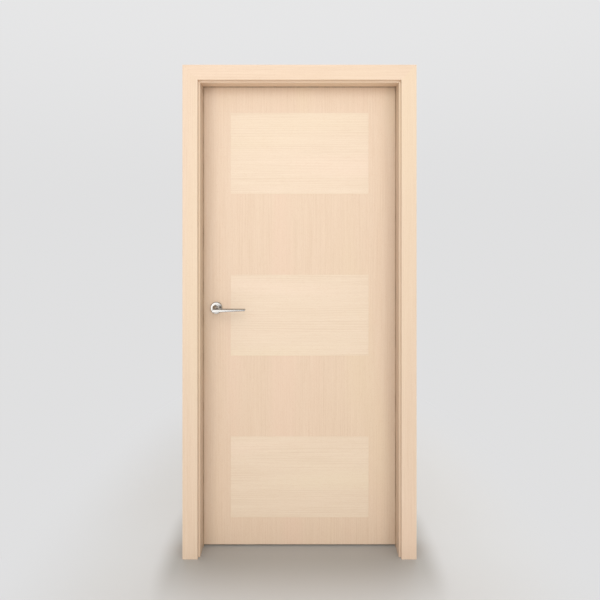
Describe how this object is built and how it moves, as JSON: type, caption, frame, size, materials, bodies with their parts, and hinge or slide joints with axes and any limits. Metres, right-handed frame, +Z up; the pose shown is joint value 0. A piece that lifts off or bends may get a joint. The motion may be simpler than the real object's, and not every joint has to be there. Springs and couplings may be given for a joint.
{
  "type": "interior door",
  "caption": "Hinged flush wooden door leaf with inlaid horizontal panels and lever handles, hung in a rebated wooden frame with flat mitred casings.",
  "frame": {"origin": "at floor level on the wall face of the hinge-side jamb, half way through its depth", "axes": "+X from the doorway out through the hinge-side jamb, +Y through the wall in the direction in which the leaf opens, +Z up"},
  "size_m": [1.017, 0.172, 2.115],
  "materials": {
    "pale_wood_upright": "matt lacquered bleached oak veneer, grain upright",
    "pale_wood_level": "matt lacquered bleached oak veneer, grain level",
    "core_board": "raw particle board, hidden",
    "seal_rubber": "matt soft rubber",
    "satin_nickel": "satin nickel plate",
    "brushed_steel": "brushed",
    "plain_steel": "bright zinc plate, hidden"
  },
  "bodies": {
    "frame": {"jamb_lock_side": "pale_wood_upright", "jamb_hinge_side": "pale_wood_upright", "jamb_head": "pale_wood_level", "stop_lock_side": "pale_wood_upright", "stop_hinge_side": "pale_wood_upright", "stop_head": "pale_wood_level", "casing_front_lock_side": "pale_wood_upright", "casing_front_hinge_side": "pale_wood_upright", "casing_front_head": "pale_wood_level", "casing_back_lock_side": "pale_wood_upright", "casing_back_hinge_side": "pale_wood_upright", "casing_back_head": "pale_wood_level", "seal": "seal_rubber", "strike_plate": "brushed_steel", "hinge_bottom_jamb_half": "brushed_steel", "hinge_bottom_pin": "brushed_steel", "hinge_middle_jamb_half": "brushed_steel", "hinge_middle_pin": "brushed_steel", "hinge_top_jamb_half": "brushed_steel", "hinge_top_pin": "brushed_steel"},
    "leaf": {"leaf_core": "core_board", "lipping_lock_edge": "pale_wood_upright", "lipping_hinge_edge": "pale_wood_upright", "lipping_bottom_edge": "pale_wood_level", "lipping_top_edge": "pale_wood_level", "face_front": "pale_wood_upright", "face_back": "pale_wood_upright", "panel_front_bottom": "pale_wood_level", "panel_front_middle": "pale_wood_level", "panel_front_top": "pale_wood_level", "panel_back_bottom": "pale_wood_level", "panel_back_middle": "pale_wood_level", "panel_back_top": "pale_wood_level", "latch_case": "plain_steel", "latch_faceplate": "brushed_steel", "latch_bolt": "brushed_steel", "rose_front": "satin_nickel", "rose_back": "satin_nickel", "hinge_bottom_leaf_half": "brushed_steel", "hinge_middle_leaf_half": "brushed_steel", "hinge_top_leaf_half": "brushed_steel"},
    "lever": {"lever_front": "satin_nickel", "lever_back": "satin_nickel", "spindle": "plain_steel", "follower": "plain_steel"}
  },
  "joints": [
    {"name": "leaf_swing", "type": "hinge", "parent": "frame", "child": "leaf", "pos_m": [-0.0245, 0.058, 1], "axis": [0, 0, -1], "range_deg": [0, 170]},
    {"name": "lever_turn", "type": "hinge", "parent": "leaf", "child": "lever", "pos_m": [-0.825, 0.0325, 1.055], "axis": [0, 1, 0], "range_deg": [0, 40], "stiffness_Nm_per_rad": 1, "springref_deg": -28.65}
  ]
}
